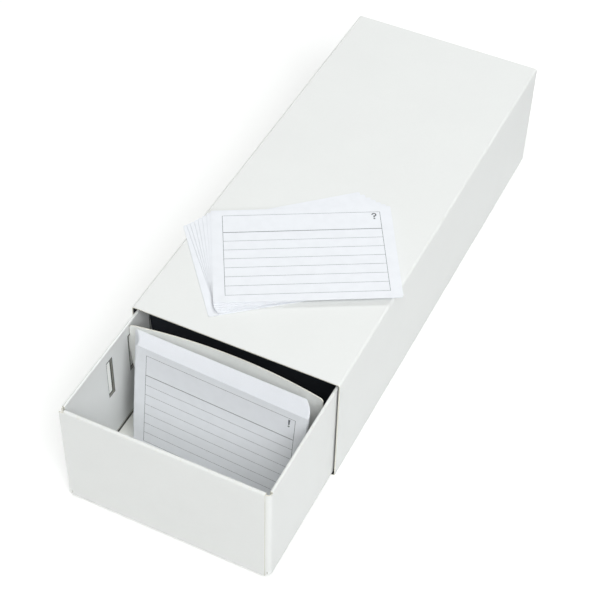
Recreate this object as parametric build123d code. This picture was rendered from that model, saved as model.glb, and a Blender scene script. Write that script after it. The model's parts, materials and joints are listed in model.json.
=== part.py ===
from build123d import *

import os
from math import cos, radians, sin

# Index card drawer in folding board: an open-ended sleeve, a drawer with rolled-over double walls
# that is pushed out of it, two plug-in dividers, a leaning stack of ruled cards behind the drawer
# front and a loose fan of cards lying on the sleeve.
#
# Millimetres. Origin: middle of the sleeve's underside. +Z is up, and the drawer opens towards -Y.
# The rest position is the drawer pulled out by PULL_OUT.

# ---------- driving dimensions ----------

# Cards: A8 record cards, 74 by 52
CARD_WIDTH = 74.0
CARD_HEIGHT = 52.0
CARD_THICKNESS = 0.24
CARD_CORNER = 0.8  # corner radius
CARD_AIR = 0.04  # air between two neighbouring cards

# Drawer blank
DRAWER_LENGTH = 212.5
DRAWER_BOARD = 0.5
CARD_SIDE_ROOM = 5.1  # from a centred card to the inner side wall
WALL_BELOW_CARD_TOP = 1.55  # how far an upright card stands above the drawer's walls
WALL_AIR = 0.2  # air between the two layers of a side wall
LAYER_AIR = 0.075  # air between the three layers of an end wall
CREASE_RADIUS = 0.9  # outside radius of the creases along the floor
ROLL_SHARE = 0.48  # how much of a wall's top is rounded, from each side; 0.5 is a full half circle
INNER_PANEL_LIFT = 1.3  # from the floor to the lower edge of an inner panel
END_INSET = 2.05  # from the drawer's side to the edge of its end panel
WING_DROP = 3.7  # on the left the end's outer layer reaches the drawer's side, up to this far below its top
WING_SHOULDER = 1.0  # from the top to where that extension's slanted upper edge starts
SIDE_START = 2.5  # from the drawer's end to where the side wall is rolled over
CORNER_RADIUS = 2.0  # outside radius where a side wall turns into its corner flap
FLAP_LENGTH = 18.0
FLAP_DROP = 0.9  # corner flap below the wall's top
FLAP_LIFT = 1.0  # corner flap above the drawer's underside

# Divider slots in the inner side panels
SLOT_COUNT = 10
SLOT_WIDTH = 3.6
SLOT_HEIGHT = 19.0
SLOT_LIFT = 26.0  # from the drawer's underside to a slot's lower edge
SLOT_FROM_END = 32.95  # from the drawer's end to the middle of its first slot

# Dividers
DIVIDER_BOARD = 0.45
DIVIDER_HEIGHT = 50.0
DIVIDER_SIDE_GAP = 0.8  # from its upper part to the inner side wall, when centred
DIVIDER_FOOT_INSET = 1.5  # its foot is narrower than a card by this much on each side
DIVIDER_CORNER = 1.2  # radius of its upper corners
CORNER_SHARE = 0.9  # a corner rounds at most this share of the side above its ear
DIVIDER_BOW = 4.1  # how far its middle bulges backwards
DIVIDER_SET_BACK = -0.63  # how far behind the middle of their slots its ends lie
DIVIDER_SHIFT = -0.6  # it has slipped towards the left wall
EAR_TIP_GAP = 0.1  # from an ear's tip to the inner side wall, when centred
EAR_CLEARANCE = 0.5  # from an ear to the upper and lower edge of its slot
EAR_TAPER = 1.1  # how far an ear's lower end draws in
EAR_STRAIGHT = 6.0  # straight length of an ear's tip
FRONT_DIVIDER_SLOT = 2
REAR_DIVIDER_SLOT = 3

# Cards standing in the drawer
STACK_COUNT = 28
BROWSE_COUNT = 4  # the first cards of the stack, which tip forward one by one
STACK_LEAN = 8.3  # degrees, tops backwards
STACK_TO_DIVIDER = 2.7  # from the last card's upper edge to the divider's ends
FRONT_YAW = -2.6  # degrees about Z, first card
BACK_YAW = -1.5  # degrees about Z, last card
FRONT_SHIFT = 2.9  # first card's middle, to the right of the drawer's
BACK_SHIFT = -1.2  # last card's middle
SHIFT_CURVE = 2  # the shift changes with this power of a card's place in the stack, most at the back

# Sleeve blank
SLEEVE_BOARD = 0.5
SLEEVE_FOLD = 1.1  # outside radius of its folds
SIDE_CLEARANCE = 0.7  # between drawer and sleeve, on each side
UNDER_CLEARANCE = 0.28  # between the drawer's underside and the glue flap
HEADROOM = 0.42  # between an upright card and the sleeve's ceiling
GLUE_FLAP = 18.0
GLUE_AIR = 0.02
SEAM_STEP = 0.6  # the floor panel stops this far short of the left wall's outside

# Small gaps that let things stand and lie without touching
FOOT_AIR = 0.08  # under the cards and dividers
LYING_AIR = 0.03  # under the fan of loose cards

# The drawer's rest position
PULL_OUT = 55.25

# Loose cards on the sleeve, lowest first: each one's turn about Z in degrees, and how far behind the
# sleeve's front its lower left corner lies
FAN = (
    (39.9, 8.5),
    (42.5, 11.1),
    (40.5, 11.2),
    (38.0, 11.5),
    (35.9, 11.8),
    (33.6, 12.4),
    (31.4, 13.3),
    (29.5, 14.1),
)
FAN_FIRST_OVERHANG = 4.26  # how far the lowest card's upper left corner reaches past the sleeve's left side
FAN_LAST_OVERHANG = -2.53  # the same of the top card, which stops short of it

# ---------- derived places ----------

INNER_HALF = CARD_WIDTH / 2 + CARD_SIDE_ROOM
DRAWER_HALF = INNER_HALF + 2 * DRAWER_BOARD + WALL_AIR
END_HALF = DRAWER_HALF - END_INSET
END_WALL = 3 * DRAWER_BOARD + 2 * LAYER_AIR

DRAWER_BOTTOM = 2 * SLEEVE_BOARD + GLUE_AIR + UNDER_CLEARANCE
FLOOR_TOP = DRAWER_BOTTOM + DRAWER_BOARD
CARD_FOOT = FLOOR_TOP + FOOT_AIR
CARD_TOP = CARD_FOOT + CARD_HEIGHT
DRAWER_TOP = CARD_TOP - WALL_BELOW_CARD_TOP

SLEEVE_HALF = DRAWER_HALF + SIDE_CLEARANCE + SLEEVE_BOARD
SLEEVE_HEIGHT = CARD_TOP + HEADROOM + SLEEVE_BOARD
SLEEVE_LENGTH = DRAWER_LENGTH

DRAWER_FRONT = -DRAWER_LENGTH / 2 - PULL_OUT
SLOT_PITCH = (DRAWER_LENGTH - 2 * SLOT_FROM_END) / (SLOT_COUNT - 1)
CARD_PITCH = CARD_THICKNESS + CARD_AIR


def slot_y(number, front=DRAWER_FRONT):
    """Y of the middle of a pair of slots, counted from 1 at the drawer's front."""
    return front + SLOT_FROM_END + (number - 1) * SLOT_PITCH


# ---------- folded board ----------


def folded_board(middle_line, radii, board):
    """Section of a board that is folded along the corners of its middle line."""
    return trace(FilletPolyline(*middle_line, radius=radii), line_width=board)


def four_ways(part):
    """The part with its mirror images in X and in Y."""
    pair = part + mirror(part, Plane.YZ)
    return pair + mirror(pair, Plane.XZ)


# ---------- sleeve ----------


def make_sleeve():
    """Four panels folded into a tube. The glue flap lies inside, on the left end of the floor."""
    half_board = SLEEVE_BOARD / 2
    side = SLEEVE_HALF - half_board
    top = SLEEVE_HEIGHT - half_board
    flap_level = SLEEVE_BOARD + GLUE_AIR + half_board
    middle_line = [
        (-SLEEVE_HALF + GLUE_FLAP, flap_level),
        (-side, flap_level),
        (-side, top),
        (side, top),
        (side, half_board),
        (-SLEEVE_HALF + SEAM_STEP, half_board),
    ]
    section = folded_board(middle_line, SLEEVE_FOLD - half_board, SLEEVE_BOARD)
    return extrude(Plane.XZ * section, SLEEVE_LENGTH / 2, both=True)


# ---------- drawer ----------


def side_walls():
    """Floor and double side walls: up the outside, over the top and down the inside."""
    half_board = DRAWER_BOARD / 2
    inner = INNER_HALF + half_board
    outer = DRAWER_HALF - half_board
    floor = DRAWER_BOTTOM + half_board
    top = DRAWER_TOP - half_board
    roll = ROLL_SHARE * (outer - inner)
    right_half = [
        (inner, FLOOR_TOP + INNER_PANEL_LIFT),
        (inner, top),
        (outer, top),
        (outer, floor),
        (0, floor),
    ]
    section = folded_board(right_half, [roll, roll, CREASE_RADIUS - half_board], DRAWER_BOARD)
    half = extrude(Plane.XZ * section, DRAWER_LENGTH / 2 - SIDE_START, both=True)
    return half + mirror(half, Plane.YZ)


def end_walls():
    """Floor and double end walls, which close over the corner flaps."""
    half_board = DRAWER_BOARD / 2
    outer = DRAWER_LENGTH / 2 - half_board
    inner = DRAWER_LENGTH / 2 - END_WALL + half_board
    floor = DRAWER_BOTTOM + half_board
    top = DRAWER_TOP - half_board
    roll = ROLL_SHARE * (outer - inner)
    back_half = [
        (inner, FLOOR_TOP + INNER_PANEL_LIFT),
        (inner, top),
        (outer, top),
        (outer, floor),
        (0, floor),
    ]
    section = folded_board(back_half, [roll, roll, CREASE_RADIUS - half_board], DRAWER_BOARD)
    half = extrude(Plane.YZ * section, END_HALF, both=True)
    return half + mirror(half, Plane.XZ)


def end_wings():
    """Outer layer of both end walls, run on to the drawer's left side with a slanted upper edge."""
    low = DRAWER_BOTTOM + CREASE_RADIUS
    outline = Polyline(
        (-END_HALF, low),
        (-DRAWER_HALF, low),
        (-DRAWER_HALF, DRAWER_TOP - WING_DROP),
        (-END_HALF, DRAWER_TOP - WING_SHOULDER),
        close=True,
    )
    wing = extrude(Plane.XZ * make_face(outline), -DRAWER_BOARD)
    front = Pos(0, -DRAWER_LENGTH / 2, 0) * wing
    return front + mirror(front, Plane.XZ)


def corner_flap():
    """A side wall's end, turned round the corner and tucked between the layers of the end wall."""
    half_board = DRAWER_BOARD / 2
    side = DRAWER_HALF - half_board
    tucked = DRAWER_LENGTH / 2 - DRAWER_BOARD - LAYER_AIR - half_board
    middle_line = [
        (side, DRAWER_LENGTH / 2 - SIDE_START - CORNER_RADIUS),
        (side, tucked),
        (side - FLAP_LENGTH, tucked),
    ]
    section = folded_board(middle_line, CORNER_RADIUS - half_board, DRAWER_BOARD)
    low = DRAWER_BOTTOM + FLAP_LIFT
    high = DRAWER_TOP - FLAP_DROP
    return Pos(0, 0, low) * extrude(section, high - low)


def slot_cutters():
    """One box for each divider slot, through the inner side panels only."""
    depth = DRAWER_BOARD + WALL_AIR / 2
    x = INNER_HALF + DRAWER_BOARD / 2
    z = DRAWER_BOTTOM + SLOT_LIFT + SLOT_HEIGHT / 2
    places = [
        (side * x, slot_y(number, -DRAWER_LENGTH / 2), z)
        for side in (-1, 1)
        for number in range(1, SLOT_COUNT + 1)
    ]
    return Locations(*places), Box(depth, SLOT_WIDTH, SLOT_HEIGHT)


def make_drawer_tray():
    """The drawer's blank, folded and rolled over, at its rest position."""
    tray = side_walls() + end_walls() + end_wings() + four_ways(corner_flap())
    places, cutter = slot_cutters()
    tray -= [place * cutter for place in places]
    return Pos(0, -PULL_OUT, 0) * tray


# ---------- dividers ----------


def divider_outline():
    """Half of the divider's flat outline: foot, ear that enters a slot, and rounded upper corner."""
    foot_half = CARD_WIDTH / 2 - DIVIDER_FOOT_INSET
    top_half = INNER_HALF - DIVIDER_SIDE_GAP
    tip = INNER_HALF - EAR_TIP_GAP
    slot_low = DRAWER_BOTTOM + SLOT_LIFT
    ear_low = slot_low + EAR_CLEARANCE
    ear_high = slot_low + SLOT_HEIGHT - EAR_CLEARANCE
    top = CARD_FOOT + DIVIDER_HEIGHT
    edge = Polyline(
        (0, CARD_FOOT),
        (foot_half, CARD_FOOT),
        (foot_half, ear_low),
        (tip - EAR_TAPER, ear_low),
        (tip, ear_high - EAR_STRAIGHT),
        (tip, ear_high),
        (top_half, ear_high),
        (top_half, top),
        (0, top),
        close=True,
    )
    half = make_face(edge)
    corner = half.vertices().sort_by(Axis.Y)[-2:].sort_by(Axis.X)[-1]
    half = fillet(corner, min(DIVIDER_CORNER, CORNER_SHARE * (top - ear_high)))
    return half + mirror(half, Plane.YZ)


def make_divider(slot_number):
    """A board bowed backwards between the side walls, its ears at a pair of slots."""
    tip = INNER_HALF - EAR_TIP_GAP
    ends = slot_y(slot_number) + DIVIDER_SET_BACK
    bow = ThreePointArc((-tip, ends), (0, ends + DIVIDER_BOW), (tip, ends))
    sheet = extrude(trace(bow, line_width=DIVIDER_BOARD), SLEEVE_HEIGHT)
    reach = abs(ends) + DIVIDER_BOW + DIVIDER_BOARD
    cookie = extrude(Plane.XZ * divider_outline(), reach, both=True)
    return Pos(DIVIDER_SHIFT, 0, 0) * (sheet & cookie)


# ---------- cards ----------


def index_card():
    """One card, upright: lower edge on Z = 0, front face on Y = 0, middle at X = 0."""
    outline = Pos(0, CARD_HEIGHT / 2) * RectangleRounded(CARD_WIDTH, CARD_HEIGHT, CARD_CORNER)
    return extrude(Plane.XZ * outline, -CARD_THICKNESS)


def standing_card(number):
    """A card of the stack in the drawer, number 1 in front. All of them lean back alike."""
    share = (number - 1) / (STACK_COUNT - 1)
    pitch = CARD_PITCH / cos(radians(STACK_LEAN))
    last_foot = (
        slot_y(FRONT_DIVIDER_SLOT)
        + DIVIDER_SET_BACK
        - STACK_TO_DIVIDER
        - CARD_HEIGHT * sin(radians(STACK_LEAN))
    )
    foot = last_foot - (STACK_COUNT - number) * pitch
    shift = FRONT_SHIFT + (BACK_SHIFT - FRONT_SHIFT) * share**SHIFT_CURVE
    yaw = FRONT_YAW + (BACK_YAW - FRONT_YAW) * share
    return Pos(shift, foot, CARD_FOOT) * Rot(0, 0, yaw) * Rot(-STACK_LEAN, 0, 0) * index_card()


def lying_card(number):
    """A card of the loose fan on the sleeve, number 1 lowest, turned about its lower left corner."""
    turn, set_back = FAN[number - 1]
    share = (number - 1) / (len(FAN) - 1)
    overhang = FAN_FIRST_OVERHANG + (FAN_LAST_OVERHANG - FAN_FIRST_OVERHANG) * share
    x = -SLEEVE_HALF - overhang + CARD_HEIGHT * sin(radians(turn))
    y = -SLEEVE_LENGTH / 2 + set_back
    z = SLEEVE_HEIGHT + LYING_AIR + (number - 1) * CARD_PITCH
    outline = Pos(CARD_WIDTH / 2, CARD_HEIGHT / 2) * RectangleRounded(CARD_WIDTH, CARD_HEIGHT, CARD_CORNER)
    card = extrude(outline, CARD_THICKNESS)
    return Pos(x, y, z) * Rot(0, 0, turn) * card


# ---------- the nodes ----------

nodes = {
    "sleeve": make_sleeve(),
    "drawer_tray": make_drawer_tray(),
    "divider_front": make_divider(FRONT_DIVIDER_SLOT),
    "divider_rear": make_divider(REAR_DIVIDER_SLOT),
}
for number in range(1, STACK_COUNT + 1):
    name = f"browse_card_{number}" if number <= BROWSE_COUNT else f"filed_card_{number:02d}"
    nodes[name] = standing_card(number)
for number in range(1, len(FAN) + 1):
    nodes[f"loose_card_{number}"] = lying_card(number)

os.makedirs("parts", exist_ok=True)
for name, solid in nodes.items():
    solid.label = name
    export_step(solid, f"parts/{name}.step")
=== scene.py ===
import json
from math import asin, cos, pi, radians, sin

import bmesh
import bpy
import numpy as np
from bpy.props import FloatProperty, FloatVectorProperty, IntProperty, PointerProperty
from mathutils import Matrix, Vector

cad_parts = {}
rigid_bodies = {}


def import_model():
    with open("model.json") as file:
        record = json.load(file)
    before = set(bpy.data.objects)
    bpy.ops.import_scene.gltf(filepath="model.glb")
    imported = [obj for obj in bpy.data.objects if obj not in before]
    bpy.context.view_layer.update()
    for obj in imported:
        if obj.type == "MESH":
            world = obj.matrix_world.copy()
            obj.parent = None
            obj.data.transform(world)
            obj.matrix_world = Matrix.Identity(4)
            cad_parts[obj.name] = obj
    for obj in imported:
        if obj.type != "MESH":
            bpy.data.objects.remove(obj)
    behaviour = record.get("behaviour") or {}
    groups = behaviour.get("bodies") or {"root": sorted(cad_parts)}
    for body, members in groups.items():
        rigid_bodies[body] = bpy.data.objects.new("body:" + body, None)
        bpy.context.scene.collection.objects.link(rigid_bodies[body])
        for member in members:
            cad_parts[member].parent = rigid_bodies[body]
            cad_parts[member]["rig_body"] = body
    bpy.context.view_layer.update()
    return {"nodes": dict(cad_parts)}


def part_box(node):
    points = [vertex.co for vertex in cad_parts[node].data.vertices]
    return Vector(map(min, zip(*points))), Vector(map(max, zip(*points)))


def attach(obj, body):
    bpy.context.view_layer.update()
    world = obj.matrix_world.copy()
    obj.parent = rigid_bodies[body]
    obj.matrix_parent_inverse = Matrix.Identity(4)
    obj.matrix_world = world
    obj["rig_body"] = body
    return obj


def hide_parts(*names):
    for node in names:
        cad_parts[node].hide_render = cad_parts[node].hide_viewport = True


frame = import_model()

bl_info = {
    "name": "Index card drawer",
    "version": (1, 0, 0),
    "blender": (4, 5, 0),
    "location": "3D View > Sidebar > Card drawer",
    "description": "Folds a card drawer out of coated board, fills it with ruled cards and sets its stage",
    "category": "Add Mesh",
}

# Everything is in metres, in the frame of the packed model: +Z is up and the drawer opens towards -Y.

MM = 0.001
SLEEVE_LOW, SLEEVE_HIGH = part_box("sleeve")
TRAY_LOW, TRAY_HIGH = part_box("drawer_tray")

FILED_NODES = sorted(n for n in frame["nodes"] if n.startswith("filed_card_"))
BROWSE_NODES = sorted(n for n in frame["nodes"] if n.startswith("browse_card_"))
LOOSE_NODES = sorted(n for n in frame["nodes"] if n.startswith("loose_card_"))

SIGNS = (-1, 1)
ROLL = 0.48  # radius of a rolled-over edge beside the distance between its two layers
NOISE_SPAN = (0.3, 0.7)  # where most of a noise's values lie
WEAR_AND_HIGHLIGHT_REACH = 1.3 * MM  # how far a fold's wear and its painted highlight reach from the edge
WORN_COLOUR = (0.72, 0.68, 0.58, 1.0)
# Colour of the painted shade round the drawer's slots and along its panels' feet
PAINTED_SHADE_COLOUR = (0.035, 0.035, 0.03, 1.0)
STRIP_COLOUR = (0.6, 0.56, 0.46, 1.0)
STRIP_STRENGTH = 0.5
FAINT_INK = 0.88  # strength of the thin rows beside that of the frame's sides and the header's line
COOL, WARM = (0.965, 0.99, 1.0), (1.0, 0.985, 0.87)  # colours of the lamps
LAMP_TARGET, LAMP_DISTANCE = (0, -0.03, 0.02), 2.4
FLOOR_GREY = (0.86, 0.86, 0.86, 1.0)
FLOOR_GLOW = 0.24  # added where the floor is seen, so that it is white outside the shadow
WHITE = (1.0, 1.0, 1.0, 1.0)


# ---------- sizes and colours that can be changed ----------


def number(name, description, default, **settings):
    """A number, as a property."""
    return FloatProperty(name=name, description=description, default=default, **settings)


def length(name, description, default):
    """A length in metres, as a property."""
    return number(name, description, default, min=0.0, unit="LENGTH", precision=5)


def tint(name, description, red, green, blue):
    """A colour as a property, given by its 0 to 255 values on the screen."""
    linear = [((c / 255 + 0.055) / 1.055) ** 2.4 for c in (red, green, blue)]
    return FloatVectorProperty(
        name=name, description=description, default=linear, size=3, min=0.0, max=1.0, subtype="COLOR"
    )


class SleeveSizes(bpy.types.PropertyGroup):
    """Sizes of the sleeve that its bounding box doesn't give."""

    board: length("Board", "Thickness of the sleeve's board", 0.5 * MM)
    fold: length("Fold radius", "Outside radius of its four folds", 1.1 * MM)
    glue_flap: length("Glue flap", "Width of the flap inside, on the floor", 18 * MM)
    glue_air: length("Glue line", "Between the glue flap and the floor panel", 0.02 * MM)
    seam_step: length("Seam step", "The floor panel stops this far short of the left side", 0.6 * MM)


class DrawerSizes(bpy.types.PropertyGroup):
    """Sizes of the drawer that its bounding box doesn't give."""

    board: length("Board", "Thickness of the drawer's board", 0.5 * MM)
    wall_air: length("Air in a side wall", "Between the two layers of a side wall", 0.2 * MM)
    layer_air: length("Air in an end wall", "Between two of its three layers", 0.075 * MM)
    crease: length("Crease radius", "Outside radius of the creases along the floor", 0.9 * MM)
    panel_lift: length("Inner panel lift", "From the floor to the lower edge of an inner panel", 1.3 * MM)
    end_inset: length("End inset", "From the drawer's side to the edge of its end panel", 2.05 * MM)
    wing_shoulder: length("Wing shoulder", "From the top to where a wing's slanted upper edge starts", 1.0 * MM)
    wing_drop: length("Wing drop", "From the top to where that edge meets the drawer's side", 3.7 * MM)
    side_start: length("Side start", "From the drawer's end to where the side is rolled over", 2.5 * MM)
    flap_length: length("Corner flap", "Length of a corner flap inside the end wall", 18 * MM)
    flap_turn: length("Corner turn", "Radius where a side wall turns into its corner flap", 1.65 * MM)
    flap_drop: length("Flap drop", "Corner flap below the wall's top", 0.9 * MM)
    flap_lift: length("Flap lift", "Corner flap above the drawer's underside", 1.0 * MM)
    slot_count: IntProperty(name="Slots", description="Divider slots in each side", default=10, min=2)
    slot_width: length("Slot width", "Along the drawer", 3.6 * MM)
    slot_height: length("Slot height", "Upright", 19 * MM)
    slot_lift: length("Slot lift", "From the drawer's underside to a slot's lower edge", 26 * MM)
    slot_start: length("First slot", "From the drawer's end to the middle of its first slot", 32.95 * MM)


class DividerSizes(bpy.types.PropertyGroup):
    """Sizes of a divider that its bounding box doesn't give."""

    board: length("Board", "Thickness of a divider", 0.45 * MM)
    foot_half: length("Half foot", "From the middle to the side of its lower part", 35.5 * MM)
    top_inset: length("Top inset", "Its upper part is this much narrower than its ears, on each side", 0.7 * MM)
    ear_low: length("Ear, lower end", "Above the drawer's underside", 26.5 * MM)
    ear_high: length("Ear, upper end", "Above the drawer's underside", 44.5 * MM)
    ear_straight: length("Ear, straight end", "Straight length of an ear's tip", 6 * MM)
    ear_taper: length("Ear taper", "How far an ear's lower end draws in", 1.1 * MM)
    corner: length("Corner radius", "Radius of its upper corners", 1.2 * MM)


class CardSizes(bpy.types.PropertyGroup):
    """Sizes of a card and of its ruling. The ruling is measured on a card that is read upright."""

    width: length("Width", "Long side of a card", 74 * MM)
    height: length("Height", "Short side of a card", 52 * MM)
    thickness: length("Thickness", "Thickness of a card", 0.24 * MM)
    corner: length("Corner radius", "Radius of its corners", 0.8 * MM)
    margin_side: length("Side margin", "From the card's side to the ruled frame", 4.75 * MM)
    margin_top: length("Top margin", "From the card's upper edge to the ruled frame", 3.3 * MM)
    margin_foot: length("Foot margin", "From the card's lower edge to the ruled frame", 3.9 * MM)
    header: length("Header", "Height of the frame's empty first row", 9.8 * MM)
    rows: IntProperty(name="Rows", description="Ruled rows below the header", default=7, min=1)
    thin_line: length("Thin line", "Width of the ruled lines", 0.17 * MM)
    thick_line: length("Thick line", "Width of the line below the header", 0.30 * MM)
    mark_in: length("Mark, inwards", "From the frame's right side to the middle of the mark", 2.5 * MM)
    mark_down: length("Mark, down", "From the frame's upper side to the middle of the mark", 2.5 * MM)
    mark_height: length("Mark height", "Height of the question or exclamation mark", 3.6 * MM)


class Finishes(bpy.types.PropertyGroup):
    """Colours of the boards, the cards and the print, and the near-black colours that paint the shade inside
    the sleeve and on the rear divider.
    """

    coated: tint("Coated board", "White coated side of the sleeve's and drawer's board", 232, 233, 232)
    reverse: tint("Board reverse", "Uncoated side of the drawer's board", 250, 251, 248)
    # Painted shade: the sleeve's uncoated inside is given a near-black colour for the shade inside the sleeve.
    sleeve_inside_shade: tint("Sleeve inside shade", "Uncoated side of the sleeve's board", 44, 45, 49)
    cut_edge: tint("Cut edge", "Core of the board where it is cut", 228, 226, 216)
    divider: tint("Divider", "Face of the front divider", 246, 247, 244)
    # Painted shade: the rear divider is made near-black for the shade deep inside the drawer.
    divider_shade: tint("Dark divider", "Face of the rear divider", 52, 55, 62)
    card: tint("Card", "Card stock", 236, 238, 243)
    ink: tint("Ink", "Ruled lines and marks", 60, 63, 70)


class StageSizes(bpy.types.PropertyGroup):
    """Camera, lamps and floor."""

    lens: number("Lens", "Focal length in mm on a sensor 36 mm wide", 92.31)
    azimuth: number("Azimuth", "Camera's turn, 0 looks along +Y", radians(24.877), subtype="ANGLE")
    elevation: number("Elevation", "Camera above the horizon", radians(46.441), subtype="ANGLE")
    roll: number("Roll", "Camera's turn about its own axis", radians(1.631), subtype="ANGLE")
    distance: number("Distance", "From the camera to its target", 0.6744, unit="LENGTH")
    target: FloatVectorProperty(
        name="Target", description="Point in the middle of the picture", default=(-0.01001, -0.02623, 0.0),
        subtype="TRANSLATION", unit="LENGTH",
    )
    floor_size: number("Floor", "Side of the floor", 6.0, unit="LENGTH")
    ambient: number("Ambient", "Strength of the light from all round", 0.225)
    key_power: number("Key lamp", "Power of the soft lamp at the front right", 41.5)
    back_power: number("Back lamp", "Power of the soft lamp behind", 17.8)
    fill_power: number("Fill lamp", "Power of the soft lamp at the front", 10.0)


# ---------- selecting and shaping ----------


def new_panel(name, centre, width, depth, turn=(0, 0, 0)):
    """A flat rectangle with its place in its mesh, alone selected, in edit mode."""
    if bpy.context.object and bpy.context.object.mode != "OBJECT":
        bpy.ops.object.mode_set(mode="OBJECT")
    bpy.ops.object.select_all(action="DESELECT")
    bpy.ops.mesh.primitive_plane_add(size=1, location=centre, rotation=turn)
    piece = bpy.context.object
    piece.name = piece.data.name = name
    piece.scale = (width, depth, 1)
    bpy.ops.object.transform_apply(location=True, rotation=True, scale=True)
    bpy.ops.object.mode_set(mode="EDIT")
    return piece


def pick(piece, kind, wanted):
    """Selects the vertices, edges or faces (kind VERT, EDGE or FACE) that the test wants, and nothing else."""
    bpy.ops.mesh.select_mode(type=kind)
    bpy.ops.mesh.select_all(action="DESELECT")
    shape = bmesh.from_edit_mesh(piece.data)
    kinds = {"VERT": shape.verts, "EDGE": shape.edges, "FACE": shape.faces}
    found = [part for part in kinds[kind] if wanted(part)]
    for part in found:
        part.select_set(True)
    bmesh.update_edit_mesh(piece.data)
    if not found:
        raise RuntimeError(f"nothing to pick on {piece.name}")


def near(a, b):
    """True if two lengths are the same but for rounding."""
    return abs(a - b) < 0.02 * MM


def mid(face):
    """The middle of a face."""
    return face.calc_center_median()


def along(edge, axis, **where):
    """True for an edge along an axis ("x", "y" or "z") whose other coordinates are the given ones."""
    a, b = (v.co for v in edge.verts)
    run = (b - a).normalized()
    if abs(getattr(run, axis)) < 0.999:
        return False
    return all(near(getattr(a, key), value) for key, value in where.items())


def walk(*steps):
    """Lets the selected edge walk by each step in turn, and leaves a panel behind for each."""
    for step in steps:
        bpy.ops.mesh.extrude_region_move(TRANSFORM_OT_translate={"value": step})


def cut(piece, wanted, axis, place):
    """Cuts the wanted faces along the plane where the axis ("x", "y" or "z") has that place."""
    pick(piece, "FACE", wanted)
    point, normal = Vector(), Vector()
    setattr(point, axis, place)
    setattr(normal, axis, 1.0)
    bpy.ops.mesh.bisect(plane_co=point, plane_no=normal)


def round_folds(piece, wanted, radius, steps):
    """Rounds the wanted folds of the sheet."""
    pick(piece, "EDGE", wanted)
    bpy.ops.mesh.bevel(offset=radius, offset_type="OFFSET", segments=steps, affect="EDGES")


def turn_coated_side_out(piece, probe):
    """Makes the sheet's faces agree, with the side out that the probe, a test of one face, calls right."""
    pick(piece, "FACE", lambda f: True)
    bpy.ops.mesh.remove_doubles(threshold=0.001 * MM)
    bpy.ops.mesh.normals_make_consistent(inside=False)
    shape = bmesh.from_edit_mesh(piece.data)
    for face in shape.faces:
        face.normal_update()
    verdicts = [probe(face) for face in shape.faces]
    if verdicts.count(False) > verdicts.count(True):
        bpy.ops.mesh.flip_normals()


def apply_modifier(piece, kind, **settings):
    """Adds a modifier to the piece, sets it and applies it."""
    bpy.ops.object.modifier_add(type=kind)
    modifier = piece.modifiers[-1]
    for key, value in settings.items():
        setattr(modifier, key, value)
    bpy.ops.object.modifier_apply(modifier=modifier.name)


def thicken(piece, board, *materials):
    """Gives the sheet its board, with the named materials on face, reverse and cut edge. Leaves edit mode."""
    bpy.ops.object.mode_set(mode="OBJECT")
    for name in materials:
        piece.data.materials.append(bpy.data.materials[name])
    apply_modifier(
        piece, "SOLIDIFY", thickness=board, offset=0.0, use_even_offset=True, use_quality_normals=True,
        material_offset=1, material_offset_rim=2,
    )
    bpy.ops.object.shade_smooth_by_angle(angle=radians(40))
    apply_modifier(piece, "WEIGHTED_NORMAL", keep_sharp=True, weight=80)


def hand_over(piece, node):
    """The piece takes a CAD node's place and body, and the node is hidden."""
    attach(piece, frame["nodes"][node]["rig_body"])
    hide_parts(node)


# ---------- node groups ----------


def put(tree, kind, inputs=None, **settings):
    """A new node with its settings, and its inputs linked to a socket or set to a value."""
    made = tree.nodes.new(kind)
    for key, value in settings.items():
        setattr(made, key, value)
    for key, value in (inputs or {}).items():
        if isinstance(value, bpy.types.NodeSocket):
            tree.links.new(value, made.inputs[key])
        else:
            made.inputs[key].default_value = value
    return made


def calc(tree, operation, *values):
    """The output of a Math node."""
    return put(tree, "ShaderNodeMath", dict(enumerate(values)), operation=operation).outputs[0]


def vector_calc(tree, operation, *values):
    """The vector output of a Vector Math node."""
    return put(tree, "ShaderNodeVectorMath", dict(enumerate(values)), operation=operation).outputs["Vector"]


def fade(tree, value, low, high, start=0.0, end=1.0):
    """A value's way from low to high, as a smooth step from start to end."""
    made = put(
        tree, "ShaderNodeMapRange",
        {"Value": value, "From Min": low, "From Max": high, "To Min": start, "To Max": end},
        interpolation_type="SMOOTHSTEP",
    )
    return made.outputs["Result"]


def split(tree, vector):
    """The three coordinates of a vector."""
    parts = put(tree, "ShaderNodeSeparateXYZ", {"Vector": vector}).outputs
    return parts["X"], parts["Y"], parts["Z"]


def mix_colour(tree, factor, first, second):
    """The output of a colour Mix node. Its sockets share names, so they go by their places."""
    return put(tree, "ShaderNodeMix", {0: factor, 6: first, 7: second}, data_type="RGBA").outputs[2]


def noise(tree, vector, scale, detail=3.0, roughness=0.55):
    """The value of a Noise texture."""
    inputs = {"Vector": vector, "Scale": scale, "Detail": detail, "Roughness": roughness}
    return put(tree, "ShaderNodeTexNoise", inputs).outputs["Fac"]


def in_millimetres(tree, vector):
    """A place in millimetres, from one in metres."""
    return vector_calc(tree, "MULTIPLY", vector, (1 / MM, 1 / MM, 1 / MM))


def inside(tree, value, low, high):
    """1 where the value lies between low and high."""
    above = calc(tree, "GREATER_THAN", value, low)
    return calc(tree, "MULTIPLY", above, calc(tree, "LESS_THAN", value, high))


def on_line(tree, value, place, width):
    """1 where the value is within half a line's width of its place."""
    return calc(tree, "LESS_THAN", calc(tree, "ABSOLUTE", calc(tree, "SUBTRACT", value, place)), width / 2)


def joined(tree, operation, masks):
    """Several masks taken together, two at a time."""
    total = masks[0]
    for mask in masks[1:]:
        total = calc(tree, operation, total, mask)
    return total


def any_of(tree, *masks):
    """The largest of several masks."""
    return joined(tree, "MAXIMUM", masks)


def all_of(tree, *masks):
    """The product of several masks."""
    return joined(tree, "MULTIPLY", masks)


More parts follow.
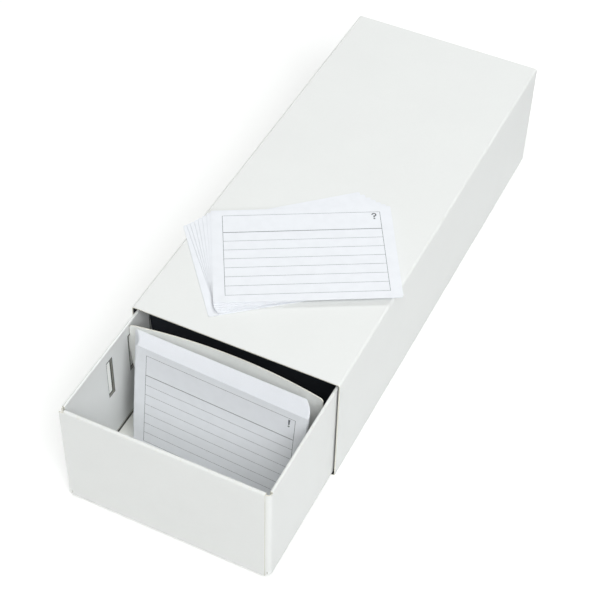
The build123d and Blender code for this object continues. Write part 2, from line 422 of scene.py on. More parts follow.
def new_group(name, outputs, **numbers):
    """A node group with a Vector and numbers as inputs: its tree, its inputs, and what sets an output."""
    tree = bpy.data.node_groups.new(name, "ShaderNodeTree")
    tree.interface.new_socket("Vector", in_out="INPUT", socket_type="NodeSocketVector")
    for socket, default in numbers.items():
        name = socket.replace("_", " ")
        tree.interface.new_socket(name, in_out="INPUT", socket_type="NodeSocketFloat").default_value = default
    for socket in outputs:
        tree.interface.new_socket(socket, in_out="OUTPUT", socket_type="NodeSocketFloat")
    source = tree.nodes.new("NodeGroupInput")
    sink = tree.nodes.new("NodeGroupOutput")

    def give(socket, value):
        tree.links.new(value, sink.inputs[socket])

    return tree, source.outputs, give


def board_grain_group():
    """Board surface: Mottle is clouds and specks, Fibre is short fibres, Sag is the panels' slight waves."""
    tree, given, give = new_group("Board grain", ["Mottle", "Fibre", "Sag"], Fibre_size=0.35)
    in_mm = in_millimetres(tree, given["Vector"])
    clouds = noise(tree, in_mm, 0.06, detail=2.0)
    specks = noise(tree, in_mm, 0.9, detail=4.0, roughness=0.6)
    give("Mottle", calc(tree, "ADD", calc(tree, "MULTIPLY", clouds, 0.6), calc(tree, "MULTIPLY", specks, 0.4)))
    finer = calc(tree, "DIVIDE", 1.0, given["Fibre size"])
    stretched = vector_calc(tree, "MULTIPLY", in_mm, (1.0, 0.35, 1.0))
    give("Fibre", noise(tree, stretched, finer, detail=5.0, roughness=0.65))
    give("Sag", noise(tree, in_mm, 0.022, detail=1.0, roughness=0.4))


def fold_wear_and_highlight_group(name, low, high):
    """Wear and painted highlight along the edges of a box: Near fades from 1 to 0 away from an edge and also
    sets the painted highlight, Mask is where it is rubbed.
    """
    tree, given, give = new_group(name, ["Mask", "Near"])
    moved = vector_calc(tree, "SUBTRACT", given["Vector"], (low + high) / 2)
    inwards = vector_calc(tree, "SUBTRACT", (high - low) / 2, vector_calc(tree, "ABSOLUTE", moved))
    x, y, z = split(tree, inwards)
    # The middle one of the three depths is the distance to the nearest edge.
    low_xy = calc(tree, "MINIMUM", x, y)
    high_xy = calc(tree, "MAXIMUM", x, y)
    middle = calc(tree, "MAXIMUM", low_xy, calc(tree, "MINIMUM", high_xy, z))
    near_edge = fade(tree, middle, 0.0, WEAR_AND_HIGHLIGHT_REACH, start=1.0, end=0.0)
    in_mm = in_millimetres(tree, given["Vector"])
    rubbed = fade(tree, noise(tree, in_mm, 0.35, detail=6.0, roughness=0.7), 0.52, 0.66)
    give("Mask", calc(tree, "MULTIPLY", near_edge, rubbed))
    give("Near", near_edge)


def paper_grain_group():
    """Card surface: Mottle is a faint cloudiness and Tooth the paper's fine tooth."""
    tree, given, give = new_group("Paper grain", ["Mottle", "Tooth"])
    in_mm = in_millimetres(tree, given["Vector"])
    give("Mottle", noise(tree, in_mm, 0.25, detail=4.0, roughness=0.6))
    give("Tooth", noise(tree, in_mm, 4.0, detail=4.0, roughness=0.7))


def panel_strip_and_shade_group(size):
    """Marks on the drawer's inner side panels: Outline is painted shade round the slots, Seam is painted shade
    along the panel's foot and Strip a tan strip there.

    The panel's face carries a ring of painted shade round each slot, and the outer layer behind the slot has
    painted shade at its edge.
    """
    tree, given, give = new_group("Panel strip and shade", ["Outline", "Seam", "Strip"])
    x, y, z = split(tree, given["Vector"])
    middles = slot_middles(size)
    pitch, row = middles[1] - middles[0], middles[-1] - middles[0]
    slot_middle = TRAY_LOW.z + size.slot_lift + size.slot_height / 2
    panel = TRAY_HIGH.x - 2 * size.board - size.wall_air
    foot = TRAY_LOW.z + size.board + size.panel_lift

    # Depths behind the panel's face
    behind = calc(tree, "SUBTRACT", calc(tree, "ABSOLUTE", x), panel)
    on_panel = on_line(tree, behind, 0.0, 0.4 * MM)
    through_panel = inside(tree, behind, -0.2 * MM, 0.55 * MM)
    on_outer_layer = inside(tree, behind, 0.4 * MM, 0.9 * MM)
    in_gap = inside(tree, behind, -0.1 * MM, 0.9 * MM)

    # Distance past a slot's edge, below 0 inside the slot
    along_row = calc(tree, "SUBTRACT", y, middles[0])
    past_side = calc(tree, "SUBTRACT", calc(tree, "PINGPONG", along_row, pitch / 2), size.slot_width / 2)
    from_middle = calc(tree, "ABSOLUTE", calc(tree, "SUBTRACT", z, slot_middle))
    past_end = calc(tree, "SUBTRACT", from_middle, size.slot_height / 2)
    past = calc(tree, "MAXIMUM", past_side, past_end)
    in_row = inside(tree, along_row, -2 * MM, row + 2 * MM)
    # Painted shade: a dark ring round each slot on the panel, and a dark edge on the outer layer seen through
    # it
    ring = all_of(tree, through_panel, inside(tree, past, -0.1 * MM, 0.55 * MM))
    shade = all_of(tree, on_outer_layer, inside(tree, past, -0.55 * MM, 0.5 * MM))
    give("Outline", all_of(tree, in_row, any_of(tree, ring, shade)))

    # Heights above the panel's foot: a strip between two lines of painted shade, and painted shade on the floor
    # in the gap below
    up = calc(tree, "SUBTRACT", z, foot)
    upper_shade_line, strip = inside(tree, up, 0.75 * MM, 0.95 * MM), inside(tree, up, 0.12 * MM, 0.75 * MM)
    lower_shade_line, floor = inside(tree, up, -0.1 * MM, 0.12 * MM), inside(tree, up, -1.45 * MM, -0.9 * MM)
    lines = all_of(tree, on_panel, any_of(tree, upper_shade_line, lower_shade_line))
    # Seam is painted shade: the dark lines at the panel's foot and the dark floor in the gap under it.
    give("Seam", any_of(tree, lines, all_of(tree, in_gap, floor)))
    give("Strip", all_of(tree, on_panel, strip))


def ruling_group(card):
    """Ruling of a card from its own millimetres: Ink for the lines, Question and Exclamation for the marks."""
    tree, given, give = new_group("Card ruling", ["Ink", "Question", "Exclamation"])
    u, v, _ = split(tree, given["Vector"])
    left, right = card.margin_side / MM, (card.width - card.margin_side) / MM
    low, high = card.margin_foot / MM, (card.height - card.margin_top) / MM
    header = high - card.header / MM
    thin, thick = card.thin_line / MM, card.thick_line / MM
    pitch = (header - low) / card.rows

    # Frame and rows
    in_width = inside(tree, u, left - thin / 2, right + thin / 2)
    in_height = inside(tree, v, low - thin / 2, high + thin / 2)
    in_rows = inside(tree, v, low - thin / 2, header + thin / 2)
    from_row = calc(tree, "PINGPONG", calc(tree, "SUBTRACT", v, low), pitch / 2)
    row_line = all_of(tree, in_rows, calc(tree, "LESS_THAN", from_row, thin / 2))
    faint_lines = any_of(tree, row_line, on_line(tree, v, high, thin))
    strong_lines = any_of(
        tree, on_line(tree, v, header, thick), on_line(tree, u, left, thin), on_line(tree, u, right, thin)
    )
    lines = any_of(tree, calc(tree, "MULTIPLY", faint_lines, FAINT_INK), strong_lines)
    give("Ink", all_of(tree, lines, in_width, in_height))

    # Marks, in units of half their height
    unit = card.mark_height / MM / 2
    a = calc(tree, "DIVIDE", calc(tree, "SUBTRACT", u, right - card.mark_in / MM), unit)
    b = calc(tree, "DIVIDE", calc(tree, "SUBTRACT", v, high - card.mark_down / MM), unit)
    aside = calc(tree, "ABSOLUTE", a)
    dot = all_of(tree, calc(tree, "LESS_THAN", aside, 0.2), inside(tree, b, -1.0, -0.64))
    taper = calc(tree, "ADD", 0.14, calc(tree, "MULTIPLY", calc(tree, "ADD", b, 0.4), 0.07))
    bar = all_of(tree, calc(tree, "LESS_THAN", aside, taper), inside(tree, b, -0.42, 1.0))
    give("Exclamation", any_of(tree, bar, dot))

    ring_middle, ring_radius, stroke = 0.46, 0.42, 0.3
    up = calc(tree, "SUBTRACT", b, ring_middle)
    squares = calc(tree, "ADD", calc(tree, "MULTIPLY", a, a), calc(tree, "MULTIPLY", up, up))
    span = calc(tree, "SQRT", squares)
    ring = on_line(tree, span, ring_radius, stroke)
    open_side = all_of(tree, calc(tree, "LESS_THAN", a, 0.0), calc(tree, "LESS_THAN", up, -0.02))
    hook = all_of(tree, ring, calc(tree, "SUBTRACT", 1.0, open_side))
    stem_top = ring_middle - ring_radius + stroke / 2
    stem = all_of(tree, calc(tree, "LESS_THAN", aside, stroke / 2), inside(tree, b, -0.44, stem_top))
    give("Question", any_of(tree, hook, stem, dot))


# ---------- materials ----------


def new_material(name, roughness, **constants):
    """A material with a Principled shader: its tree, the shader, and a socket with its Object coordinates."""
    material = bpy.data.materials.new(name)
    material.use_nodes = True
    tree = material.node_tree
    shader = tree.nodes["Principled BSDF"]
    shader.inputs["Roughness"].default_value = roughness
    for socket, value in constants.items():
        shader.inputs[socket.replace("_", " ")].default_value = value
    place = tree.nodes.new("ShaderNodeTexCoord").outputs["Object"]
    return tree, shader, place


def rgba(colour, gain=1.0):
    """A colour as four values."""
    return (*(min(1.0, c * gain) for c in colour), 1.0)


def use_group(tree, name, vector, **numbers):
    """The outputs of a node group in a material."""
    inputs = {"Vector": vector, **{key.replace("_", " "): value for key, value in numbers.items()}}
    return put(tree, "ShaderNodeGroup", inputs, node_tree=bpy.data.node_groups[name]).outputs


def bump(tree, height, distance, normal=None):
    """The normal of a Bump node at full strength."""
    inputs = {"Height": height, "Distance": distance, "Strength": 1.0}
    if normal is not None:
        inputs["Normal"] = normal
    return put(tree, "ShaderNodeBump", inputs).outputs["Normal"]


def dress(tree, shader, colour, roughness, normal):
    """Links a shader's colour, roughness and normal."""
    for socket, value in (("Base Color", colour), ("Roughness", roughness), ("Normal", normal)):
        tree.links.new(value, shader.inputs[socket])


def add_strip_and_shade(tree, place, surface, strength):
    """The surface colour with painted shade round the slots and along the inner panels' feet, and the strip
    along those feet.
    """
    mask = use_group(tree, "Panel strip and shade", place)
    strip = calc(tree, "MULTIPLY", mask["Strip"], STRIP_STRENGTH)
    with_strip = mix_colour(tree, strip, surface, STRIP_COLOUR)
    dark = calc(tree, "MULTIPLY", any_of(tree, mask["Seam"], mask["Outline"]), strength)
    return mix_colour(tree, dark, with_strip, PAINTED_SHADE_COLOUR)


def coated_board(name, colour, wear_and_highlight_name, marks=0.0):
    """White coated board: faint mottle, rubbed folds with a painted highlight along them, soft sheen and panels
    that aren't quite flat.
    """
    tree, shader, place = new_material(name, 0.55, Specular_IOR_Level=0.27)
    grain = use_group(tree, "Board grain", place)
    wear_and_highlight = use_group(tree, wear_and_highlight_name, place)
    clouds = fade(tree, grain["Mottle"], 0.35, 0.68)
    cloudy = mix_colour(tree, clouds, rgba(colour, 0.985), rgba(colour, 1.005))
    # Painted highlight: the board is made a little lighter near every fold and edge.
    painted_fold_highlight = mix_colour(tree, calc(tree, "MULTIPLY", wear_and_highlight["Near"], 0.15), cloudy, rgba(colour, 1.03))
    surface = mix_colour(tree, calc(tree, "MULTIPLY", wear_and_highlight["Mask"], 0.35), painted_fold_highlight, WORN_COLOUR)
    # marks sets the strength of the painted shade round the drawer's slots and along its panels' feet.
    if marks:
        surface = add_strip_and_shade(tree, place, surface, marks)
    fibres = bump(tree, grain["Fibre"], 0.012 * MM, normal=bump(tree, grain["Sag"], 0.9 * MM))
    dress(tree, shader, surface, fade(tree, grain["Mottle"], *NOISE_SPAN, start=0.5, end=0.62), fibres)


def uncoated_board(name, colour, fleck, marks=0.0):
    """Uncoated reverse: rougher, with flecks and fibres of recycled stock."""
    tree, shader, place = new_material(name, 0.85, Specular_IOR_Level=0.2)
    grain = use_group(tree, "Board grain", place, Fibre_size=0.5)
    cloudy = mix_colour(tree, fade(tree, grain["Mottle"], 0.35, 0.65), rgba(colour, 0.965), rgba(colour))
    flecks = fade(tree, grain["Fibre"], 0.62, 0.72, end=0.12)
    surface = mix_colour(tree, flecks, cloudy, rgba(fleck))
    # Painted shade round the slots and along the panels' feet, as on the coated side.
    if marks:
        surface = add_strip_and_shade(tree, place, surface, marks)
    roughness = fade(tree, grain["Mottle"], *NOISE_SPAN, start=0.78, end=0.92)
    dress(tree, shader, surface, roughness, bump(tree, grain["Fibre"], 0.03 * MM))


def cut_board(name, colour, marks):
    """Cut edge: the pressed core between the two skins, fuzzy and a little darker in places."""
    tree, shader, place = new_material(name, 0.9, Specular_IOR_Level=0.15)
    grain = use_group(tree, "Board grain", place, Fibre_size=0.18)
    streaky = mix_colour(tree, fade(tree, grain["Fibre"], 0.35, 0.7), rgba(colour, 0.86), rgba(colour, 1.06))
    # Painted shade where a cut edge lies round a slot or at a panel's foot.
    surface = add_strip_and_shade(tree, place, streaky, marks)
    roughness = fade(tree, grain["Mottle"], *NOISE_SPAN, start=0.82, end=0.96)
    dress(tree, shader, surface, roughness, bump(tree, grain["Fibre"], 0.05 * MM))


def card_face(name, card, finish, mark, mirrored):
    """A ruled side of a card, from its UV map. The far side is mirrored, so that it reads the right way."""
    tree, shader, place = new_material(name, 0.6, Specular_IOR_Level=0.3)
    flat = put(tree, "ShaderNodeUVMap", uv_map="card").outputs["UV"]
    width, height = card.width / MM, card.height / MM
    inputs = {"Vector": flat, "Location": (0.0, 0.0, 0.0), "Scale": (width, height, 1.0)}
    if mirrored:
        inputs.update({"Location": (width, 0.0, 0.0), "Scale": (-width, height, 1.0)})
    ruling = use_group(tree, "Card ruling", put(tree, "ShaderNodeMapping", inputs).outputs["Vector"])
    grain = use_group(tree, "Paper grain", place)
    clouds = fade(tree, grain["Mottle"], 0.35, 0.65)
    paper = mix_colour(tree, clouds, rgba(finish.card, 0.975), rgba(finish.card))
    # Lines are a little broken where the ink missed the paper's tooth.
    solid = fade(tree, grain["Tooth"], 0.25, 0.5, start=0.72, end=0.95)
    ink = calc(tree, "MULTIPLY", any_of(tree, ruling["Ink"], ruling[mark]), solid)
    surface = mix_colour(tree, ink, paper, rgba(finish.ink))
    roughness = fade(tree, grain["Tooth"], *NOISE_SPAN, start=0.52, end=0.66)
    dress(tree, shader, surface, roughness, bump(tree, grain["Tooth"], 0.006 * MM))


def card_rim(finish):
    """Trimmed edge of the card stock."""
    tree, shader, place = new_material("Card edge", 0.8, Specular_IOR_Level=0.2)
    grain = use_group(tree, "Paper grain", place)
    tooth = fade(tree, grain["Tooth"], *NOISE_SPAN)
    fuzzy = mix_colour(tree, tooth, rgba(finish.card, 0.92), rgba(finish.card))
    roughness = fade(tree, grain["Mottle"], *NOISE_SPAN, start=0.7, end=0.9)
    dress(tree, shader, fuzzy, roughness, bump(tree, grain["Tooth"], 0.02 * MM))


class CARDBOX_OT_finishes(bpy.types.Operator):
    """Makes the node groups and the materials of the boards, the cards and the print"""

    bl_idname = "card_box.finishes"
    bl_label = "Finishes"

    def execute(self, context):
        card, finish = context.scene.card_box_card, context.scene.card_box_finish
        board_grain_group()
        paper_grain_group()
        fold_wear_and_highlight_group("Sleeve wear and highlight", SLEEVE_LOW, SLEEVE_HIGH)
        fold_wear_and_highlight_group("Drawer wear and highlight", TRAY_LOW, TRAY_HIGH)
        panel_strip_and_shade_group(context.scene.card_box_drawer)
        ruling_group(card)
        # marks gives the strength of the painted shade round the drawer's slots and along its panels' feet.
        coated_board("Sleeve coated", finish.coated, "Sleeve wear and highlight")
        coated_board("Drawer coated", finish.coated, "Drawer wear and highlight", marks=0.9)
        # Painted shade: near-black inside of the sleeve.
        uncoated_board("Sleeve inside shade", finish.sleeve_inside_shade, fleck=(0.05, 0.05, 0.05))
        uncoated_board("Drawer reverse", finish.reverse, fleck=(0.55, 0.47, 0.34), marks=0.9)
        uncoated_board("Divider face", finish.divider, fleck=(0.4, 0.39, 0.34))
        # Painted shade: the rear divider's near-black face and edges.
        uncoated_board("Rear divider shade face", finish.divider_shade, fleck=(0.1, 0.1, 0.11))
        cut_board("Cut edge", finish.cut_edge, marks=0.6)
        for kind, mark in (("question", "Question"), ("answer", "Exclamation")):
            for side in ("front", "back"):
                card_face(f"Card {kind} {side}", card, finish, mark, mirrored=side == "back")
        card_rim(finish)
        return {"FINISHED"}


# ---------- sleeve ----------


class CARDBOX_OT_sleeve(bpy.types.Operator):
    """Folds the sleeve: glue flap, left side, top, right side and floor, from one strip"""

    bl_idname = "card_box.sleeve"
    bl_label = "Sleeve"

    def execute(self, context):
        size = context.scene.card_box_sleeve
        half = size.board / 2
        side = SLEEVE_HIGH.x - half
        top = SLEEVE_HIGH.z - half
        flap_level = size.board + size.glue_air + half
        flap_end = size.glue_flap - SLEEVE_HIGH.x
        depth = SLEEVE_HIGH.y - SLEEVE_LOW.y
        sleeve = new_panel("sleeve_board", ((flap_end - side) / 2, 0, flap_level), flap_end + side, depth)
        pick(sleeve, "EDGE", lambda e: along(e, "y", x=-side))
        walk(
            (0, 0, top - flap_level),
            (2 * side, 0, 0),
            (0, 0, half - top),
            (-side - SLEEVE_HIGH.x + size.seam_step, 0, 0),
        )
        turn_coated_side_out(sleeve, lambda f: f.normal.z > 0.9 if mid(f).z > top - MM else None)
        folds = [(-side, flap_level), (-side, top), (side, top), (side, half)]
        round_folds(
            sleeve, lambda e: any(along(e, "y", x=x, z=z) for x, z in folds), size.fold - half, steps=8
        )
        thicken(sleeve, size.board, "Sleeve coated", "Sleeve inside shade", "Cut edge")
        hand_over(sleeve, "sleeve")
        return {"FINISHED"}


# ---------- drawer ----------


def slot_middles(size):
    """Y of the middle of each pair of divider slots."""
    first = TRAY_LOW.y + size.slot_start
    last = TRAY_HIGH.y - size.slot_start
    return [first + (last - first) * i / (size.slot_count - 1) for i in range(size.slot_count)]


class CARDBOX_OT_drawer(bpy.types.Operator):
    """Folds the drawer from its cross-shaped blank, tucks the corner flaps in and cuts the divider slots"""

    bl_idname = "card_box.drawer"
    bl_label = "Drawer"

    def execute(self, context):
        size = context.scene.card_box_drawer
        half = size.board / 2
        mid_y = (TRAY_LOW.y + TRAY_HIGH.y) / 2
        floor, top = TRAY_LOW.z + half, TRAY_HIGH.z - half
        low = TRAY_LOW.z + size.board + size.panel_lift
        outer_x, outer_y = TRAY_HIGH.x - half, TRAY_HIGH.y - mid_y - half
        inner_x = outer_x - size.board - size.wall_air
        inner_y = outer_y - 2 * (size.board + size.layer_air)
        end_half = TRAY_HIGH.x - size.end_inset
        side_end = TRAY_HIGH.y - mid_y - size.side_start

        # Blank: the floor without its four corners
        tray = new_panel("drawer_board", (0, mid_y, floor), 2 * outer_x, 2 * outer_y)
        for sign in SIGNS:
            cut(tray, lambda f: True, "x", sign * end_half)
            cut(tray, lambda f: True, "y", mid_y + sign * side_end)
        pick(
            tray, "FACE",
            lambda f: abs(mid(f).x) > end_half and abs(mid(f).y - mid_y) > side_end,
        )
        bpy.ops.mesh.delete(type="FACE")

        # Side and end walls: up, over and down the inside
        for sign in SIGNS:
            pick(tray, "EDGE", lambda e: along(e, "y", x=sign * outer_x))
            walk((0, 0, top - floor), (sign * (inner_x - outer_x), 0, 0), (0, 0, low - top))
        for sign in SIGNS:
            pick(tray, "EDGE", lambda e: along(e, "x", y=mid_y + sign * outer_y))
            walk((0, 0, top - floor), (0, sign * (inner_y - outer_y), 0), (0, 0, low - top))

        # Corner flaps, from the ends of the outer side layers
        flap_low, flap_high = TRAY_LOW.z + size.flap_lift, TRAY_HIGH.z - size.flap_drop
        tucked = outer_y - size.board - size.layer_air
        for height in (flap_low, flap_high):
            cut(tray, lambda f: near(abs(mid(f).x), outer_x), "z", height)
        for x in SIGNS:
            for y in SIGNS:
                pick(
                    tray, "EDGE",
                    lambda e: along(e, "z", x=x * outer_x, y=mid_y + y * side_end)
                    and near(abs(e.verts[0].co.z - e.verts[1].co.z), flap_high - flap_low),
                )
                walk((0, y * (tucked - side_end), 0), (-x * size.flap_length, 0, 0))

        # Divider slots in the inner side layers
        def inner_side(face):
            return near(abs(mid(face).x), inner_x)

        def coated_below(face):
            return face.normal.z < -0.9 if near(mid(face).z, floor) else None

        slot_low = TRAY_LOW.z + size.slot_lift
        slot_high = slot_low + size.slot_height
        for height in (slot_low, slot_high):
            cut(tray, inner_side, "z", height)
        middles = slot_middles(size)
        for middle in middles:
            for sign in SIGNS:
                cut(tray, inner_side, "y", middle + sign * size.slot_width / 2)
        pick(
            tray, "FACE",
            lambda f: inner_side(f) and slot_low < mid(f).z < slot_high
            and any(abs(mid(f).y - m) < size.slot_width / 2 for m in middles),
        )
        bpy.ops.mesh.delete(type="FACE")

        turn_coated_side_out(tray, coated_below)
        corners = [(x * outer_x, mid_y + y * tucked) for x in SIGNS for y in SIGNS]
        round_folds(tray, lambda e: any(along(e, "z", x=x, y=y) for x, y in corners), size.flap_turn, steps=6)
        round_folds(
            tray, lambda e: any(along(e, "y", x=s * x, z=top) for s in SIGNS for x in (outer_x, inner_x)),
            ROLL * (outer_x - inner_x), steps=5,
        )
        end_y = [mid_y + s * y for s in SIGNS for y in (outer_y, inner_y)]
        round_folds(
            tray, lambda e: any(along(e, "x", y=y, z=top) for y in end_y), ROLL * (outer_y - inner_y), steps=5
        )
        round_folds(
            tray, lambda e: any(along(e, "y", x=s * outer_x, z=floor) for s in SIGNS)
            or any(along(e, "x", y=mid_y + s * outer_y, z=floor) for s in SIGNS),
            size.crease - half, steps=5,
        )

        # Wings: the outer end layers run on to the drawer's left side, with a slanted upper edge
        shoulder = TRAY_HIGH.z - size.wing_shoulder
        cut(tray, lambda f: near(abs(mid(f).y - mid_y), outer_y), "z", shoulder)
        for sign in SIGNS:
            pick(
                tray, "EDGE",
                lambda e: along(e, "z", x=-end_half, y=mid_y + sign * outer_y)
                and max(v.co.z for v in e.verts) < shoulder + size.board / 2,
            )
            walk((-size.end_inset, 0, 0))
        pick(
            tray, "VERT",
            lambda v: near(v.co.x, TRAY_LOW.x) and near(v.co.z, shoulder)
            and near(abs(v.co.y - mid_y), outer_y),
        )
        bpy.ops.transform.translate(value=(0, 0, size.wing_shoulder - size.wing_drop))
        turn_coated_side_out(tray, coated_below)
        thicken(tray, size.board, "Drawer coated", "Drawer reverse", "Cut edge")
        hand_over(tray, "drawer_tray")
        return {"FINISHED"}


# ---------- dividers ----------


def make_divider(size, node, face, edge):
    """A board bowed backwards between the side walls, with an ear at each of a pair of slots."""
    low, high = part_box(node)
    middle = (low.x + high.x) / 2
    tip = (high.x - low.x) / 2
    ends = low.y + size.board / 2
    bow = high.y - low.y - size.board
    bend = (tip * tip + bow * bow) / (2 * bow)
    ear_low, ear_high = TRAY_LOW.z + size.ear_low, TRAY_LOW.z + size.ear_high
    straight = ear_high - size.ear_straight

    # Sheet: an upright line spun about the bow's axis
    start = (low.x + MM, ends, (low.z + high.z) / 2)
    piece = new_panel(f"{node}_board", start, 2 * MM, high.z - low.z, turn=(pi / 2, 0, 0))
    pick(piece, "VERT", lambda v: v.co.x > low.x + MM)
    bpy.ops.mesh.delete(type="VERT")
    bpy.ops.mesh.select_all(action="SELECT")
    bpy.ops.mesh.spin(
        steps=32, angle=2 * asin(tip / bend), center=(middle, ends + bow - bend, 0), axis=(0, 0, 1)
    )

    # Outline: cut at each level and side, then the pieces outside it go
    for height in (ear_low, straight, ear_high):
        cut(piece, lambda f: True, "z", height)
    for half in (size.foot_half, tip - size.top_inset):
        for sign in SIGNS:
            cut(piece, lambda f: True, "x", middle + sign * half)

    def outside(face):
        place = mid(face)
        aside = abs(place.x - middle)
        if place.z < ear_low:
            return aside > size.foot_half
        return place.z > ear_high and aside > tip - size.top_inset

    pick(piece, "FACE", outside)
    bpy.ops.mesh.delete(type="FACE")

    # An ear's lower end draws in along a slant
    for sign in SIGNS:
        pick(piece, "FACE", lambda f: ear_low < mid(f).z < straight)
        slope = Vector((sign * (straight - ear_low), 0, -size.ear_taper))
        bpy.ops.mesh.bisect(
            plane_co=(middle + sign * tip, 0, straight), plane_no=slope.normalized(), clear_outer=True
        )

    # Rounded upper corners
    pick(piece, "VERT", lambda v: near(v.co.z, high.z) and near(abs(v.co.x - middle), tip - size.top_inset))
    bpy.ops.mesh.bevel(offset=size.corner, offset_type="OFFSET", segments=5, affect="VERTICES")
    turn_coated_side_out(piece, lambda f: f.normal.y < 0)
    thicken(piece, size.board, face, face, edge)
    hand_over(piece, node)


class CARDBOX_OT_dividers(bpy.types.Operator):
    """Makes the two bowed dividers with their ears"""

    bl_idname = "card_box.dividers"
    bl_label = "Dividers"

    def execute(self, context):
        size = context.scene.card_box_divider
        make_divider(size, "divider_front", "Divider face", "Cut edge")
        # The rear divider stands in the drawer's shade, which its near-black colour paints.
        make_divider(size, "divider_rear", "Rear divider shade face", "Rear divider shade face")
        return {"FINISHED"}


# ---------- cards ----------


def card_place(node, facing):
    """A card's place from its CAD node: a matrix with its long side, short side and front as axes."""
    points = np.array([v.co for v in frame["nodes"][node].data.vertices], float)
    points = np.unique(points.round(7), axis=0)
    centre = (points.max(0) + points.min(0)) / 2
    upright, front = (Vector(row) for row in np.linalg.svd(points - points.mean(0))[2][1:])
    if front.dot(Vector(facing)) < 0:
        front.negate()
    if upright.dot(Vector((0, 1, 1))) < 0:
        upright.negate()
    turn = Matrix((upright.cross(front), upright, front)).transposed().to_4x4()
    return Matrix.Translation(centre) @ turn


def blank_card(size, front, back):
    """One card at the origin, its front up: rounded corners, a ruled front and back, and a trimmed edge."""
    card = new_panel("card", (0, 0, 0), size.width, size.height)
    card.data.uv_layers[0].name = "card"
    pick(card, "VERT", lambda v: True)
    bpy.ops.mesh.bevel(offset=size.corner, offset_type="OFFSET", segments=4, affect="VERTICES")
    pick(card, "FACE", lambda f: True)
    bpy.ops.mesh.inset(thickness=size.corner, depth=0)
    thicken(card, size.thickness, front, back, "Card edge")
    return card


def deal(blank, nodes, facing):
    """Puts a copy of the blank card, with a mesh of its own, at each node's place, and takes the blank away."""
    for node in nodes:
        card = blank.copy()
        card.data = blank.data.copy()
        card.name = card.data.name = f"{node}_stock"
        bpy.context.collection.objects.link(card)
        card.data.transform(card_place(node, facing))
        hand_over(card, node)
    bpy.data.objects.remove(blank)


class CARDBOX_OT_filed_cards(bpy.types.Operator):
    """Makes the leaning stack of ruled cards in the drawer, with its first cards that tip forward"""

    bl_idname = "card_box.filed_cards"
    bl_label = "Filed cards"

    def execute(self, context):
        blank = blank_card(context.scene.card_box_card, "Card answer front", "Card question back")
        deal(blank, BROWSE_NODES + FILED_NODES, facing=(0, -1, 0))
        return {"FINISHED"}


class CARDBOX_OT_loose_cards(bpy.types.Operator):
    """Makes the fan of loose cards on the sleeve"""

    bl_idname = "card_box.loose_cards"
    bl_label = "Loose cards"

    def execute(self, context):
        blank = blank_card(context.scene.card_box_card, "Card question front", "Card answer back")
        deal(blank, LOOSE_NODES, facing=(0, 0, 1))
        return {"FINISHED"}


# ---------- stage ----------


def seen_directly(tree):
    """1 for rays that come from the camera or from a gloss or glass, which see the white of the room."""
    path = tree.nodes.new("ShaderNodeLightPath").outputs
    return any_of(tree, path["Is Camera Ray"], path["Is Glossy Ray"], path["Is Transmission Ray"])


def make_floor(size):
    """A white floor that keeps the object's shadow."""
    floor = new_panel("stage_floor", (0, 0, 0), size.floor_size, size.floor_size)
    bpy.ops.object.mode_set(mode="OBJECT")
    material = bpy.data.materials.new("Stage floor")
    material.use_nodes = True
    tree = material.node_tree
    tree.nodes.clear()
    matt = put(tree, "ShaderNodeBsdfDiffuse", {"Color": FLOOR_GREY})
    strength = calc(tree, "MULTIPLY", seen_directly(tree), FLOOR_GLOW)
    glow = put(tree, "ShaderNodeEmission", {"Color": WHITE, "Strength": strength})
    both = put(tree, "ShaderNodeAddShader", {0: matt.outputs[0], 1: glow.outputs[0]})
    put(tree, "ShaderNodeOutputMaterial", {"Surface": both.outputs[0]})
    floor.data.materials.append(material)


def make_world(size):
    """Plain light from all round, and white where it is seen directly."""
    world = bpy.data.worlds.new("Room light")
    bpy.context.scene.world = world
    world.use_nodes = True
    tree = world.node_tree
    tree.nodes.clear()
    strength = fade(tree, seen_directly(tree), 0.0, 1.0, start=size.ambient)
    light = put(tree, "ShaderNodeBackground", {"Color": WHITE, "Strength": strength})
    put(tree, "ShaderNodeOutputWorld", {"Surface": light.outputs[0]})


def towards(azimuth, elevation):
    """The direction from the object to a place round it."""
    return Vector((sin(azimuth) * cos(elevation), -cos(azimuth) * cos(elevation), sin(elevation)))


def make_lamp(name, azimuth, elevation, power, colour, side=1.65):
    """A square soft lamp that looks at the object. Its angles are in degrees."""
    back = towards(radians(azimuth), radians(elevation))
    bpy.ops.object.light_add(type="AREA", location=Vector(LAMP_TARGET) + back * LAMP_DISTANCE)
    lamp = bpy.context.object
    lamp.name = name
    lamp.rotation_mode = "QUATERNION"
    lamp.rotation_quaternion = (-back).to_track_quat("-Z", "Y")
    lamp.data.size = side
    lamp.data.energy = power
    lamp.data.color = colour


def make_camera(size):
    """The camera at the photograph's place."""
    back = towards(size.azimuth, size.elevation)
    right = Vector((0, 0, 1)).cross(back).normalized()
    up = back.cross(right)
    rolled_right = cos(size.roll) * right + sin(size.roll) * up
    rolled_up = cos(size.roll) * up - sin(size.roll) * right
    bpy.ops.object.camera_add(location=Vector(size.target) + back * size.distance)
    camera = bpy.context.object
    camera.name = "camera"
    camera.rotation_mode = "QUATERNION"
    camera.rotation_quaternion = Matrix((rolled_right, rolled_up, back)).transposed().to_quaternion()
    camera.data.lens = size.lens
    camera.data.sensor_width = 36.0
    camera.data.clip_start = 0.05
    camera.data.clip_end = 50.0
    bpy.context.scene.camera = camera


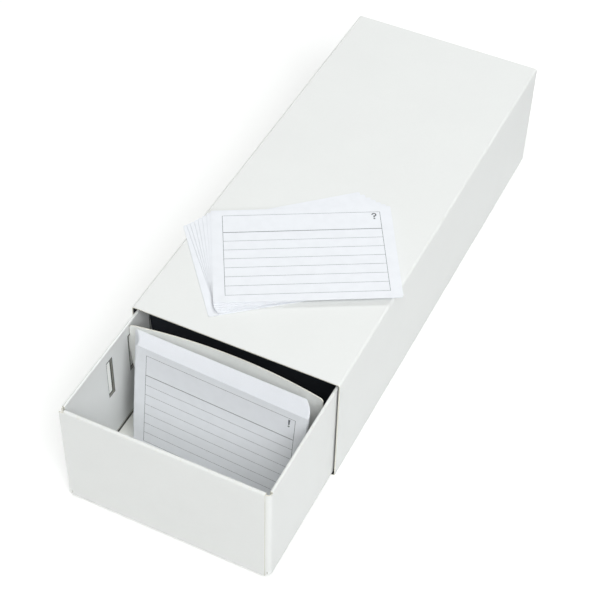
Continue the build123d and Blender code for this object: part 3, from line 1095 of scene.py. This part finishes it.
class CARDBOX_OT_stage(bpy.types.Operator):
    """Sets the white floor, the soft lamps, the room light and the camera"""

    bl_idname = "card_box.stage"
    bl_label = "Stage"

    def execute(self, context):
        size = context.scene.card_box_stage
        make_floor(size)
        make_world(size)
        bpy.ops.object.select_all(action="DESELECT")
        make_lamp("key_lamp", azimuth=45, elevation=46, power=size.key_power, colour=COOL)
        make_lamp("back_lamp", azimuth=188, elevation=50, power=size.back_power, colour=COOL, side=0.7)
        make_lamp("fill_lamp", azimuth=15, elevation=60, power=size.fill_power, colour=WARM)
        make_camera(size)
        context.scene.view_settings.view_transform = "Standard"
        return {"FINISHED"}


# ---------- add-on ----------

OPERATORS = (
    CARDBOX_OT_finishes,
    CARDBOX_OT_sleeve,
    CARDBOX_OT_drawer,
    CARDBOX_OT_dividers,
    CARDBOX_OT_filed_cards,
    CARDBOX_OT_loose_cards,
    CARDBOX_OT_stage,
)
SETTINGS = {
    "card_box_sleeve": SleeveSizes,
    "card_box_drawer": DrawerSizes,
    "card_box_divider": DividerSizes,
    "card_box_card": CardSizes,
    "card_box_finish": Finishes,
    "card_box_stage": StageSizes,
}


class CARDBOX_PT_panel(bpy.types.Panel):
    """Lists the operators and the sizes and colours in the sidebar"""

    bl_idname = "CARDBOX_PT_panel"
    bl_label = "Card drawer"
    bl_space_type = "VIEW_3D"
    bl_region_type = "UI"
    bl_category = "Card drawer"

    def draw(self, context):
        for operator in OPERATORS:
            self.layout.operator(operator.bl_idname)
        for name, group in SETTINGS.items():
            box = self.layout.box()
            box.label(text=group.__doc__)
            for key in group.__annotations__:
                box.prop(getattr(context.scene, name), key)


def register():
    for group in SETTINGS.values():
        bpy.utils.register_class(group)
    for name, group in SETTINGS.items():
        setattr(bpy.types.Scene, name, PointerProperty(type=group))
    for operator in OPERATORS:
        bpy.utils.register_class(operator)
    bpy.utils.register_class(CARDBOX_PT_panel)


def unregister():
    bpy.utils.unregister_class(CARDBOX_PT_panel)
    for operator in reversed(OPERATORS):
        bpy.utils.unregister_class(operator)
    for name in SETTINGS:
        delattr(bpy.types.Scene, name)
    for group in reversed(list(SETTINGS.values())):
        bpy.utils.unregister_class(group)


def main():
    """Builds the whole scene."""
    register()
    bpy.ops.card_box.finishes()
    bpy.ops.card_box.sleeve()
    bpy.ops.card_box.drawer()
    bpy.ops.card_box.dividers()
    bpy.ops.card_box.filed_cards()
    bpy.ops.card_box.loose_cards()
    bpy.ops.card_box.stage()


if __name__ == "__main__":
    main()
